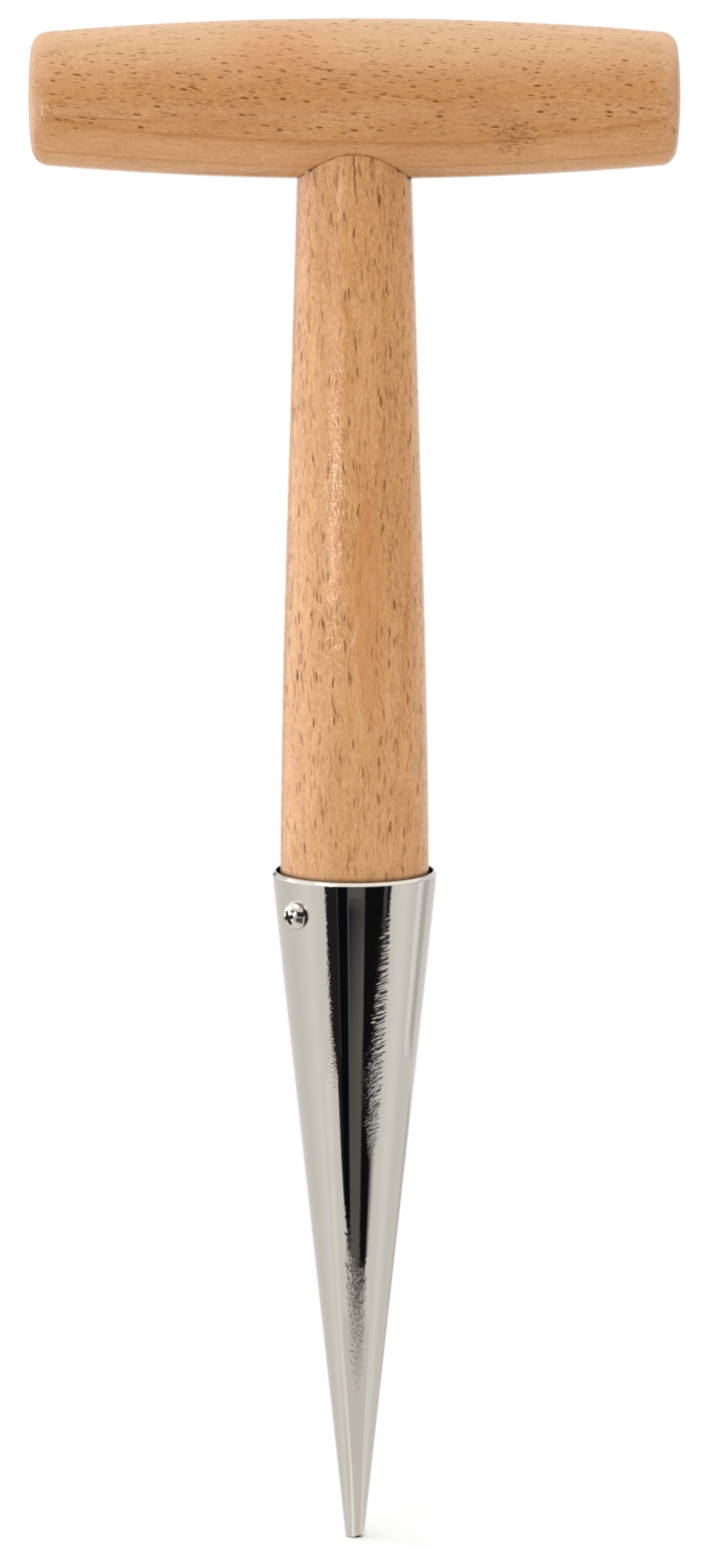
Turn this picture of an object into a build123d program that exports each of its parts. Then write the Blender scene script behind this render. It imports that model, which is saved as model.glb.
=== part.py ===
from build123d import *
from math import atan2, cos, radians, sin, tan
import os

# A hand dibber: turned beech crossbar and shaft, a rolled steel spike and one fixing screw.
# Millimetres and degrees. The tip stands on the origin, the shaft runs up +Z, the crossbar lies along X
# and -Y is the front.
OVERALL_LENGTH = 300.0

# Crossbar handle: a barrel with crowned ends
GRIP_LENGTH = 124.5
GRIP_DIAMETER = 30.5
GRIP_END_DIAMETER = 25.0
GRIP_END_CROWN = 0.7
GRIP_EDGE_RADIUS = 3.0
MORTISE_ROOF = 10.5

# Shaft: round tenon, straight taper, swelling foot, tapered spigot
NECK_DIAMETER = 22.0
SWELL_DIAMETER = 26.6
SWELL_LENGTH = 69.0
FOOT_DIAMETER = 29.2
SPIGOT_LENGTH = 65.0
TENON_CHAMFER = 1.0
SPIGOT_CHAMFER = 1.5

# Steel spike: a sheet cone with a bevelled mouth and a closed, blunt tip
SPIKE_LENGTH = 135.0
SPIKE_MOUTH_DIAMETER = 32.5
SPIKE_TIP_DIAMETER = 3.6
SHEET_THICKNESS = 0.8
RIM_BEVEL = 0.6
TIP_EDGE_RADIUS = 0.4
TIP_SOLID_LENGTH = 8.0
SEAM_WIDTH = 0.6
SEAM_DEPTH = 0.12

# Fixing screw: a pan head with a cross recess, set square to the spike's wall
SCREW_BEARING = 47.0
SCREW_BELOW_RIM = 7.2
SCREW_LENGTH = 13.0
SCREW_CORE_DIAMETER = 2.2
SCREW_POINT_LENGTH = 2.6
SCREW_HEAD_DIAMETER = 5.5
SCREW_HEAD_HEIGHT = 2.2
SCREW_HEAD_EDGE = 0.6
RECESS_SPAN = 3.0
RECESS_SLOT = 0.8
RECESS_DEPTH = 1.5
RECESS_TAPER = 14.0
RECESS_TURN = 20.0

# Clearances between mating pieces
GLUE_GAP = 0.1
TENON_END_GAP = 0.8
SOCKET_CLEARANCE = 0.05
SCREW_SEAT_GAP = 0.02
SHEET_HOLE_CLEARANCE = 0.4
PILOT_CLEARANCE = 0.05
PILOT_RUN_OUT = 1.5

# Levels and radii that several pieces share
grip_axis = OVERALL_LENGTH - GRIP_DIAMETER / 2
underside = OVERALL_LENGTH - GRIP_DIAMETER
mortise_top = OVERALL_LENGTH - MORTISE_ROOF
neck_radius = NECK_DIAMETER / 2
foot_radius = FOOT_DIAMETER / 2
mouth_radius = SPIKE_MOUTH_DIAMETER / 2
tip_radius = SPIKE_TIP_DIAMETER / 2
core_radius = SCREW_CORE_DIAMETER / 2
half_angle = atan2(mouth_radius - tip_radius, SPIKE_LENGTH)


def spike_radius(height, inset=0.0):
    """Radius of the spike's cone at a height, set in square to its surface."""
    return tip_radius + height * tan(half_angle) - inset / cos(half_angle)


# The spigot starts where the socket has narrowed to the foot of the shaft
spigot_inset = SHEET_THICKNESS + SOCKET_CLEARANCE
shoulder = SPIKE_LENGTH - (spike_radius(SPIKE_LENGTH, spigot_inset) - foot_radius) / tan(half_angle)

# The screw's frame: origin on the spike's surface, z along the surface's outward normal
screw_radial = Vector(-sin(radians(SCREW_BEARING)), -cos(radians(SCREW_BEARING)), 0)
screw_height = SPIKE_LENGTH - SCREW_BELOW_RIM
screw_plane = Plane(
    origin=screw_radial * spike_radius(screw_height) + Vector(0, 0, screw_height),
    x_dir=(cos(radians(SCREW_BEARING)), -sin(radians(SCREW_BEARING)), 0),
    z_dir=screw_radial * cos(half_angle) - Vector(0, 0, sin(half_angle)),
)


def corner(section, across, along):
    """The vertex of a section that lies nearest to a point of its plane."""
    return section.vertices().sort_by_distance((across, along))[0]


def make_crossbar_handle():
    """Barrel turned about X, bored from below for the shaft's tenon."""
    half_length = GRIP_LENGTH / 2
    end_radius = GRIP_END_DIAMETER / 2
    end_left = (GRIP_END_CROWN - half_length, end_radius)
    end_right = (half_length - GRIP_END_CROWN, end_radius)
    with BuildPart() as handle:
        with BuildSketch(Plane.XZ) as section:
            with BuildLine():
                TangentArc((-half_length, 0), end_left, tangent=(0, 1))
                ThreePointArc(end_left, (0, GRIP_DIAMETER / 2), end_right)
                TangentArc((half_length, 0), end_right, tangent=(0, 1))
                Line((half_length, 0), (-half_length, 0))
            make_face()
            fillet([corner(section, *end) for end in (end_left, end_right)], GRIP_EDGE_RADIUS)
        revolve(axis=Axis.X)
        with Locations((0, 0, mortise_top - grip_axis)):
            Cylinder(
                neck_radius + GLUE_GAP,
                GRIP_DIAMETER,
                align=(Align.CENTER, Align.CENTER, Align.MAX),
                mode=Mode.SUBTRACT,
            )
    return handle.part.moved(Location((0, 0, grip_axis)))


def make_shaft():
    """Stem turned about Z: tenon in the crossbar, swelling taper, spigot in the spike."""
    tenon_top = mortise_top - TENON_END_GAP
    spigot_end = SPIKE_LENGTH - SPIGOT_LENGTH
    end_radius = spike_radius(spigot_end, spigot_inset)
    with BuildPart() as shaft:
        with BuildSketch(Plane.XZ) as section:
            with BuildLine():
                tenon = Polyline((0, tenon_top), (neck_radius, tenon_top), (neck_radius, underside))
                taper = Line(tenon @ 1, (SWELL_DIAMETER / 2, shoulder + SWELL_LENGTH))
                swell_pull = taper @ 1 + (taper % 1) * SWELL_LENGTH / 2
                swell = Bezier(taper @ 1, swell_pull, (foot_radius, shoulder))
                Polyline(swell @ 1, (end_radius, spigot_end), (0, spigot_end), (0, tenon_top))
            make_face()
            chamfer(corner(section, neck_radius, tenon_top), TENON_CHAMFER)
            chamfer(corner(section, end_radius, spigot_end), SPIGOT_CHAMFER)
        revolve(axis=Axis.Z)
        with Locations(screw_plane):
            Cylinder(
                core_radius + PILOT_CLEARANCE,
                SCREW_LENGTH + PILOT_RUN_OUT,
                align=(Align.CENTER, Align.CENTER, Align.MAX),
                mode=Mode.SUBTRACT,
            )
    return shaft.part


def make_steel_spike():
    """Sheet cone rolled about Z, with its butt seam opposite the screw hole."""
    with BuildPart() as spike:
        with BuildSketch(Plane.XZ) as section:
            with BuildLine():
                Polyline(
                    (0, 0),
                    (tip_radius, 0),
                    (mouth_radius, SPIKE_LENGTH),
                    (spike_radius(SPIKE_LENGTH, SHEET_THICKNESS), SPIKE_LENGTH),
                    (spike_radius(TIP_SOLID_LENGTH, SHEET_THICKNESS), TIP_SOLID_LENGTH),
                    (0, TIP_SOLID_LENGTH),
                    close=True,
                )
            make_face()
            chamfer(corner(section, mouth_radius, SPIKE_LENGTH), RIM_BEVEL)
            fillet(corner(section, tip_radius, 0), TIP_EDGE_RADIUS)
        revolve(axis=Axis.Z)
        with Locations(screw_plane):
            Cylinder(core_radius + SHEET_HOLE_CLEARANCE, 2 * SCREW_HEAD_HEIGHT, mode=Mode.SUBTRACT)

        # A round-bottomed groove down the back, where the rolled edges meet
        groove_radius = (SEAM_WIDTH**2 / 4 + SEAM_DEPTH**2) / (2 * SEAM_DEPTH)
        seam_radial = -screw_radial
        seam_normal = seam_radial * cos(half_angle) - Vector(0, 0, sin(half_angle))
        seam_middle = seam_radial * spike_radius(SPIKE_LENGTH / 2) + Vector(0, 0, SPIKE_LENGTH / 2)
        seam_line = Plane(
            origin=seam_middle + seam_normal * (groove_radius - SEAM_DEPTH),
            z_dir=seam_radial * sin(half_angle) + Vector(0, 0, cos(half_angle)),
        )
        with Locations(seam_line):
            Cylinder(groove_radius, 2 * SPIKE_LENGTH, mode=Mode.SUBTRACT)
    return spike.part


def make_fixing_screw():
    """Domed pan head and plain pointed shank, seated on the spike's surface."""
    head_radius = SCREW_HEAD_DIAMETER / 2
    with BuildPart() as screw:
        with BuildSketch(Plane.XZ):
            with BuildLine():
                Polyline(
                    (0, SCREW_HEAD_HEIGHT),
                    (0, -SCREW_LENGTH),
                    (core_radius, SCREW_POINT_LENGTH - SCREW_LENGTH),
                    (core_radius, 0),
                    (head_radius, 0),
                    (head_radius, SCREW_HEAD_EDGE),
                )
                TangentArc((0, SCREW_HEAD_HEIGHT), (head_radius, SCREW_HEAD_EDGE), tangent=(1, 0))
            make_face()
        revolve(axis=Axis.Z)
        with BuildSketch(Plane.XY.offset(SCREW_HEAD_HEIGHT)):
            for turn in (RECESS_TURN, RECESS_TURN + 90):
                Rectangle(RECESS_SPAN, RECESS_SLOT, rotation=turn)
        extrude(amount=-RECESS_DEPTH, taper=RECESS_TAPER, mode=Mode.SUBTRACT)
    return screw.part.moved(screw_plane.offset(SCREW_SEAT_GAP).location)


PIECES = {
    "crossbar_handle": make_crossbar_handle,
    "shaft": make_shaft,
    "steel_spike": make_steel_spike,
    "fixing_screw": make_fixing_screw,
}

os.makedirs("parts", exist_ok=True)
for name, make in PIECES.items():
    piece = make()
    piece.label = name
    export_step(piece, f"parts/{name}.step")
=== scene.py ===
"""Looks of a hand dibber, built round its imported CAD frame. Z runs up the shaft and -Y is the front.

Pieces and stage are in metres and radians. Finishes are in millimetres and degrees.
"""
import logging
from dataclasses import dataclass
from enum import Enum
from math import acos, atan2, cos, exp, pi, radians, sin, tan
from typing import Callable, Iterable, Sequence, Union

import bmesh
import bpy
from mathutils import Euler, Matrix, Vector


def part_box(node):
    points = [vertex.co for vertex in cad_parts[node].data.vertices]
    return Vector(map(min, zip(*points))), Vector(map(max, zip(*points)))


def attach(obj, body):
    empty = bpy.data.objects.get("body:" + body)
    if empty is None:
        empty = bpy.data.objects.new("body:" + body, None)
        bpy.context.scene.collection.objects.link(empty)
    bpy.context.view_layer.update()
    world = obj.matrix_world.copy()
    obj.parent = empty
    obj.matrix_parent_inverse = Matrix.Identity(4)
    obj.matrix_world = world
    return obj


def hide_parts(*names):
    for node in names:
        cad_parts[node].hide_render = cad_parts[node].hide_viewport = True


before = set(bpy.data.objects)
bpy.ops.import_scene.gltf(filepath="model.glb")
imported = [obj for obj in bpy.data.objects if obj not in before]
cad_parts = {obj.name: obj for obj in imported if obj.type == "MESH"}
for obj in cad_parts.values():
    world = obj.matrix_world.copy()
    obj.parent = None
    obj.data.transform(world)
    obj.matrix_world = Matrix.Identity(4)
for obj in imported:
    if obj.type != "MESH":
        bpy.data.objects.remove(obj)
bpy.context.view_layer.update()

log = logging.getLogger("dibber")

MM = 0.001
PER_METRE = (1 / MM,) * 3
BODY = "root"
WHITE = (1.0, 1.0, 1.0)
BLACK = (0.0, 0.0, 0.0)
WOOD_ROUGH = 0.6

Point = tuple[float, float]
Span = tuple[float, float]
Triple = tuple[float, float, float]
Colour = tuple[float, float, float]
Tint = tuple[Colour, Colour]
Value = Union[float, Sequence[float], "Signal"]
Cell = Iterable[Union[float, "Signal"]]
Owner = Union[bpy.types.Material, bpy.types.World]


class Grain(Enum):
    """The way that a piece's grain runs, as the turn that stands it up along Z."""

    ALONG_X = (0.0, radians(-90), 0.0)
    ALONG_Z = (0.0, 0.0, 0.0)


class Axis(Enum):
    """A direction of a piece, by its name on a spot of the wood."""

    X = "x"
    Z = "z"


class Ray(Enum):
    """Kinds of light ray that a stage card doesn't answer to."""

    CAMERA = "visible_camera"
    DIFFUSE = "visible_diffuse"
    SHADOW = "visible_shadow"
    TRANSMISSION = "visible_transmission"
    SCATTER = "visible_volume_scatter"


@dataclass(frozen=True)
class Signal:
    """One number, vector or colour on its way through a material's nodes."""

    recipe: "Recipe"
    socket: bpy.types.NodeSocket

    def __add__(self, other: Value) -> "Signal":
        """Sum of two numbers."""
        return self.recipe.math("ADD", self, other)

    def __sub__(self, other: Value) -> "Signal":
        """Difference of two numbers."""
        return self.recipe.math("SUBTRACT", self, other)

    def __mul__(self, other: Value) -> "Signal":
        """Product of two numbers."""
        return self.recipe.math("MULTIPLY", self, other)

    def __truediv__(self, other: Value) -> "Signal":
        """Quotient of two numbers."""
        return self.recipe.math("DIVIDE", self, other)

    def fraction(self) -> "Signal":
        """What is left of a number past its last whole one."""
        return self.recipe.math("FRACT", self)

    def magnitude(self) -> "Signal":
        """A number without its sign."""
        return self.recipe.math("ABSOLUTE", self)

    def largest(self, other: Value) -> "Signal":
        """The larger of two numbers."""
        return self.recipe.math("MAXIMUM", self, other)

    def hypot(self, other: "Signal") -> "Signal":
        """Length of the slant whose two square sides are given."""
        return self.recipe.math("SQRT", self * self + other * other)

    def step(self, low: Value, high: Value) -> "Signal":
        """Smooth step from 0 at low to 1 at high, which may be the lesser."""
        inputs = {"Value": self, "From Min": low, "From Max": high}
        return self.recipe.node("MapRange", inputs, interpolation_type="SMOOTHSTEP")


class Recipe:
    """The node tree of one material or world, with short calls for the nodes that the finishes share."""

    def __init__(self, owner: Owner, shader: str = "Principled BSDF") -> None:
        """Start from the one shader that a new material or world has.

        Args:
            owner: The new material or world.
            shader: Name of that shader.
        """
        owner.use_nodes = True
        self.owner = owner
        self.nodes = owner.node_tree.nodes
        self.links = owner.node_tree.links
        self.shader = self.nodes[shader]

    def feed(self, socket: bpy.types.NodeSocket, value: Value) -> None:
        """Link a signal to a socket, or set the socket to a constant.

        Args:
            socket: The input socket.
            value: A signal, a number, a vector, or a colour without its alpha.
        """
        if isinstance(value, Signal):
            self.links.new(value.socket, socket)
        else:
            socket.default_value = (*value, 1.0) if socket.type == "RGBA" else value

    def node(self, kind: str, inputs: dict, output: int | str = 0, **settings: object) -> Signal:
        """Add a shader node.

        Args:
            kind: The node's type, without the ShaderNode in front.
            inputs: Signals or constants by the name or number of their socket.
            output: Name or number of the socket that is wanted.
            **settings: Properties of the node.

        Returns:
            The signal of the wanted output.
        """
        made = self.nodes.new(f"ShaderNode{kind}")
        for key, setting in settings.items():
            setattr(made, key, setting)
        for key, value in inputs.items():
            self.feed(made.inputs[key], value)
        return Signal(self, made.outputs[output])

    def math(self, operation: str, first: Value, second: Value = 0.0) -> Signal:
        """One step of arithmetic on two numbers."""
        return self.node("Math", {0: first, 1: second}, operation=operation)

    def place(self, turn: Sequence[float] = (0, 0, 0), shift: Sequence[float] = (0, 0, 0)) -> Signal:
        """Position on the piece in millimetres, turned and then shifted."""
        inputs = {"Vector": self.node("TexCoord", {}, "Object"), "Scale": PER_METRE}
        return self.node("Mapping", {**inputs, "Rotation": turn, "Location": shift})

    def split(self, vector: Signal) -> tuple[Signal, ...]:
        """The three parts of a vector."""
        parts = self.node("SeparateXYZ", {"Vector": vector}).socket.node.outputs
        return tuple(Signal(self, part) for part in parts)

    def join(self, x: Value, y: Value, z: Value) -> Signal:
        """A vector from its three parts."""
        return self.node("CombineXYZ", {0: x, 1: y, 2: z})

    def noise(self, where: Cell, sizes: Triple, detail: float = 2.0, rough: float = 0.5) -> Signal:
        """Cloudy noise between 0 and 1, whose cells have the given sizes in three directions."""
        cell = self.join(*[place / size for place, size in zip(where, sizes)])
        return self.node("TexNoise", {"Vector": cell, "Scale": 1.0, "Detail": detail, "Roughness": rough})

    def mix(self, share: Value, first: Value, second: Value) -> Signal:
        """Blend two colours."""
        return self.node("Mix", {0: share, 6: first, 7: second}, 2, data_type="RGBA")

    def ramp(self, share: Signal, stops: Sequence[tuple[float, Colour]]) -> Signal:
        """Colour that follows a number through the stops of a ramp.

        Args:
            share: The number.
            stops: Positions between 0 and 1, with their colours.

        Returns:
            The colour's signal.
        """
        made = self.node("ValToRGB", {0: share})
        band = made.socket.node.color_ramp
        while len(band.elements) < len(stops):
            band.elements.new(0.5)
        for element, (position, colour) in zip(band.elements, stops):
            element.position = position
            element.color = (*colour, 1.0)
        return made

    def bump(self, height: Signal, depth: float) -> Signal:
        """Normal of a surface that is raised by a height, whose full step is the depth."""
        return self.node("Bump", {"Height": height, "Distance": depth * MM, "Strength": 1.0})

    def dress(self, **sockets: Value) -> Owner:
        """Set the shader's sockets.

        Args:
            **sockets: Signals or constants by the socket's name, with underscores for spaces.

        Returns:
            The finished material or world.
        """
        for key, value in sockets.items():
            self.feed(self.shader.inputs[key.replace("_", " ")], value)
        return self.owner


@dataclass(frozen=True)
class Spot:
    """A point of the wood: its place on the piece and in the grain, a fine noise and how pores crowd."""

    recipe: Recipe
    x: Signal
    y: Signal
    z: Signal
    across: Signal
    inward: Signal
    along: Signal
    fine: Signal
    crowd: Signal

    def front(self) -> Signal:
        """1 on the front of the piece and 0 behind it."""
        return self.y.step(0.0, -4.0)

    def grained(self, sizes: Triple, detail: float) -> Signal:
        """Noise whose cells have the given sizes across, into and along the grain."""
        return self.recipe.noise((self.across, self.inward, self.along), sizes, detail, WOOD_ROUGH)


@dataclass(frozen=True)
class Flecks:
    """One population of dark pores: sizes in the grain's own directions, reach, share, strength and slant.

    The rest is how far columns are out of step, how ragged pores are, how they crowd, and their edges.
    """

    across: float
    along: float
    inward: float
    least: float
    most: float
    share: float
    strength: float
    slant: float = 0.0
    stagger: float = 7.0
    ragged: float = 0.12
    crowding: float = 1.1
    cut_off: float = 0.02
    core: float = 0.65

    def mask(self, spot: Spot) -> Signal:
        """Where these flecks lie.

        Args:
            spot: The point of the wood.

        Returns:
            A signal that is 0 off the flecks and up to their strength on them.
        """
        recipe = spot.recipe
        across = (spot.across + spot.along * self.slant) / self.across
        column = {"W": recipe.math("FLOOR", across)}
        shift = recipe.node("TexWhiteNoise", column, "Value", noise_dimensions="1D") * self.stagger
        where = recipe.join(across, spot.inward / self.inward, spot.along / self.along + shift)
        near = recipe.node("TexVoronoi", {"Vector": where, "Scale": 1.0}, "Distance")
        size, tone, luck = recipe.split(Signal(recipe, near.socket.node.outputs["Color"]))
        reach = size * (self.most - self.least) + self.least
        ragged = near + (spot.fine - 0.5) * self.ragged
        luck = luck - (spot.crowd - 0.5) * self.crowding
        kept = luck.step(self.share + self.cut_off, self.share - self.cut_off)
        return ragged.step(reach, reach * self.core) * (tone * 0.5 + 0.5) * kept * self.strength


@dataclass(frozen=True)
class Mark:
    """Something that befell the wood at one place, or painted light or shade laid on it: the colour it
    leaves, its strength and its depth.
    """

    colour: Colour
    strength: float
    depth: float

    def mask(self, spot: Spot) -> Signal:
        """Where the mark lies, from 0 off it to 1 on it."""
        raise NotImplementedError


@dataclass(frozen=True)
class Stroke(Mark):
    """A drying check, a dent, a painted highlight or a painted shade line on the front: a thin line by its
    middle and half its sides.

    It leans to the left of upright, bends at its ends and wanders along waves of some length.
    """

    x: float
    z: float
    half_length: float
    half_width: float
    lean: float
    bend: float = 0.0
    wander: float = 0.4
    wave: float = 1.6

    def mask(self, spot: Spot) -> Signal:
        """A line that wanders a little and thins out at both ends.

        Args:
            spot: The point of the wood.

        Returns:
            0 off the line and 1 on it.
        """
        upright, level = cos(radians(self.lean)), sin(radians(self.lean))
        aside, above = spot.x - self.x, spot.z - self.z
        sway = spot.recipe.noise((self.x, 0.0, spot.z), (1.0, 1.0, self.wave)) - 0.5
        along = (above * upright - aside * level) / self.half_length
        across = aside * upright + above * level + sway * (2 * self.wander)
        across = across + along * along * self.bend
        thin = along * along * -self.half_width + self.half_width
        return across.magnitude().step(thin, thin * 0.3) * along.magnitude().step(1.0, 0.9) * spot.front()


@dataclass(frozen=True)
class Blotch(Mark):
    """A soft stain on the front, by its middle and half its sides."""

    x: float
    z: float
    half_width: float
    half_height: float

    def away(self, spot: Spot) -> Signal:
        """Distance from the middle, as a share of the way to the edge."""
        return ((spot.x - self.x) / self.half_width).hypot((spot.z - self.z) / self.half_height)

    def mask(self, spot: Spot) -> Signal:
        """A stain that fades out from its middle."""
        ragged = self.away(spot) + (spot.fine - 0.5) * 0.6
        return ragged.step(1.1, 0.1) * spot.front()


@dataclass(frozen=True)
class PinKnot(Blotch):
    """A pin knot on the front: a round patch of short dark strokes."""

    stroke: Triple = (1.2, 1 / 3, 0.4)

    def mask(self, spot: Spot) -> Signal:
        """Strokes that gather towards the middle of the patch.

        Args:
            spot: The point of the wood.

        Returns:
            0 off the strokes and 1 on them.
        """
        away = self.away(spot)
        strokes = spot.recipe.noise((spot.x, away, spot.z), self.stroke, 2.0, WOOD_ROUGH)
        return (strokes - away * 0.1).step(0.44, 0.56) * away.step(1.2, 0.7) * spot.front()


@dataclass(frozen=True)
class GlueLine(Mark):
    """The dark line of the joint round the mortise's edge."""

    radius: float
    width: float
    top: float
    gap: Triple = (1.3, 1.3, 1.0)

    def mask(self, spot: Spot) -> Signal:
        """A ragged ring on the underside of the crossbar.

        Args:
            spot: The point of the wood.

        Returns:
            0 off the ring and up to 1 on it.
        """
        gaps = spot.recipe.noise((spot.x, spot.y, 0.0), self.gap).step(0.3, 0.6) * 0.6 + 0.4
        ragged = spot.x.hypot(spot.y) - self.radius + (spot.fine - 0.5) * (1.5 * self.width)
        return ragged.step(self.width, self.width * 0.3) * gaps * spot.z.step(self.top, self.top - 1.0)


@dataclass(frozen=True)
class WornEndsLitAbove(Mark):
    """The rounded ends of the crossbar, where the lacquer is rubbed thin and pale, painted paler above than
    below as painted light.
    """

    start: float
    full: float
    low: float
    high: float
    rub: Triple = (1.6, 2.0, 2.0)
    mottle: float = 9.0

    def mask(self, spot: Spot) -> Signal:
        """A band with a mottled edge at each end: rubbed wear, made strongest above as painted light from
        above.

        Args:
            spot: The point of the wood.

        Returns:
            0 off the bands and up to 1 on them.
        """
        rubs = spot.recipe.noise((spot.x, spot.y, spot.z), self.rub, 5.0, 0.8)
        band = (spot.x.magnitude() + (rubs - 0.5) * self.mottle).step(self.start, self.full)
        # Painted light: the upper half of each end is kept paler than the lower.
        return band * (spot.z.step(self.low, self.high) * 0.85 + 0.15)


@dataclass(frozen=True)
class Band(Mark):
    """A change of colour along one direction, here mostly painted light and painted shade, by where it
    starts and where it is full.
    """

    axis: Axis
    start: float
    full: float
    uneven: float = 0.0

    def mask(self, spot: Spot) -> Signal:
        """Alike on both sides of the middle, with an edge that is uneven where pores crowd."""
        away = getattr(spot, self.axis.value).magnitude() + (spot.crowd - 0.5) * self.uneven
        return away.step(self.start, self.full)


@dataclass(frozen=True)
class BeechFinish:
    """Lacquered beech as a solid texture round its pith, so that faces, sides and end grain agree.

    Shares say how far a thing shifts the tone from pale to deep. Sizes are across, into and along the
    grain.
    """

    name: str
    grain: Grain
    pith: Triple
    reach: float
    lean: Triple
    bow: float
    pale: Colour
    middle: Colour
    deep: Colour
    dark: Colour
    pores: tuple[Flecks, ...]
    marks: tuple[Mark, ...]
    ring_spacing: float
    ring_share: float
    cloud_share: float
    streak_share: float
    fine_share: float
    outer_share: float
    under: tuple[Mark, ...] = ()
    late_wood: tuple[Span, Span] = ((0.78, 0.94), (0.95, 0.99))
    drift_size: Triple = (24.0, 24.0, 60.0)
    drift: float = 3.0
    streak_size: Triple = (0.6, 2.0, 6.0)
    cloud_size: Triple = (7.0, 9.0, 24.0)
    fine_size: Triple = (0.34, 0.6, 0.9)
    crowd_size: Triple = (0.7, 4.0, 18.0)
    bare: Span = (-1.0, -2.0)
    sway_size: Triple = (3.0, 5.0, 5.0)
    sway: float = 0.5
    crinkle_size: Triple = (0.5, 0.8, 1.2)
    relief: float = 0.03
    crinkle: float = 0.08
    roughness: float = 0.35
    roughness_swing: float = 0.2
    ior: float = 1.2
    coat: float = 0.6
    coat_roughness: float = 0.16

    def spot(self, recipe: Recipe) -> Spot:
        """Lay the wood's own directions round the pith, with a bow, a slow drift and a short sway in them.

        Args:
            recipe: The material that needs them.

        Returns:
            The point of the wood that is being shaded.
        """
        lean = Euler([radians(part) for part in self.lean])
        turn = Euler(self.grain.value).to_matrix() @ lean.to_matrix()
        x, y, along = recipe.split(recipe.place(turn.to_euler(), -(turn @ Vector(self.pith))))
        x = x + along * along * self.bow
        drift = (recipe.noise((x, y, along), self.drift_size) - 0.5) * self.drift
        inward = x.hypot(y) + drift
        across = recipe.math("ARCTAN2", x, y * -1.0) * self.reach + drift
        sway = recipe.noise((across, inward, along), self.sway_size, 1.0, WOOD_ROUGH) - 0.5
        where = (across + sway * self.sway, inward, along)
        places = recipe.split(recipe.place())
        fine = recipe.noise(where, self.fine_size, 2.0, WOOD_ROUGH)
        crowd = recipe.noise(where, self.crowd_size, 1.0, WOOD_ROUGH) - places[2].step(*self.bare) * 0.6
        return Spot(recipe, *places, *where, fine, crowd)

    def material(self) -> bpy.types.Material:
        """Mix the wood, its fine grain, its pores, its marks and the lacquer's relief.

        Returns:
            The finished material.
        """
        recipe = Recipe(bpy.data.materials.new(self.name))
        spot = self.spot(recipe)
        streak = spot.grained(self.streak_size, 2.0)
        cloud = spot.grained(self.cloud_size, 2.0)
        crinkle = spot.grained(self.crinkle_size, 1.0)
        ring = (spot.inward / self.ring_spacing).fraction()
        late = ring.step(*self.late_wood[0]) - ring.step(*self.late_wood[1])

        tone = (streak - 0.5) * self.streak_share + (cloud - 0.5) * self.cloud_share
        tone = tone + late * self.ring_share + (spot.fine - 0.5) * self.fine_share + 0.5
        tone = tone + (spot.inward - self.reach) * self.outer_share
        colour = recipe.ramp(tone, ((0.1, self.pale), (0.5, self.middle), (0.9, self.deep)))
        for mark in self.under:
            colour = recipe.mix(mark.mask(spot) * mark.strength, colour, mark.colour)
        first, *others = [pores.mask(spot) for pores in self.pores]
        bare = first
        for other in others:
            bare = bare.largest(other)
        colour = recipe.mix(bare, colour, self.dark)
        height = streak + spot.fine + crinkle * 2.0 - bare
        # Marks hold real wear and painted light and shade alike; each tints the wood and may dent it.
        for mark in self.marks:
            stain = mark.mask(spot) * mark.strength
            colour = recipe.mix(stain, colour, mark.colour)
            height = height - stain * mark.depth
            bare = bare.largest(stain * min(mark.depth, 1.0))

        return recipe.dress(
            Base_Color=colour,
            Roughness=spot.fine * self.roughness_swing + self.roughness,
            IOR=self.ior,
            Normal=recipe.bump(height, self.relief),
            Coat_Weight=bare.step(0.4, 0.0) * self.coat,
            Coat_Roughness=self.coat_roughness,
            Coat_Normal=recipe.bump(crinkle, self.crinkle),
        )


@dataclass(frozen=True)
class Scuff:
    """A rubbed patch on the plate: its bearing from the front and height, the reach of each, and its hairs.

    The hairs have a depth, a lay from level, a length and a spacing. Some roughness hazes the patch.
    """

    bearing: float
    height: float
    half_turn: float
    half_height: float
    depth: float
    lay: float
    length: float
    apart: float
    haze: float

    def patch(self, bearing: Signal, height: Signal, cloud: Signal) -> Signal:
        """Where the patch lies.

        Args:
            bearing: Bearing of the point that is shaded, in radians.
            height: Its height.
            cloud: Noise that breaks the patch's edge up.

        Returns:
            0 off the patch and 1 on it.
        """
        beside = ((bearing - radians(self.bearing)) / radians(self.half_turn)).magnitude()
        above = ((height - self.height) / self.half_height).magnitude()
        return (beside + (cloud - 0.5)).step(1.2, 0.1) * (above + (cloud - 0.5)).step(1.2, 0.3)

    def hairs(self, aside: Signal, height: Signal) -> Signal:
        """Rise and fall of the hairs.

        Args:
            aside: Way round the plate from the front.
            height: Way up it.

        Returns:
            A signal round 0.
        """
        level, upright = cos(radians(self.lay)), sin(radians(self.lay))
        where = (aside * level + height * upright, self.height, height * level - aside * upright)
        return aside.recipe.noise(where, (self.length, 1.0, self.apart), 1.0, 0.45) - 0.5


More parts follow.
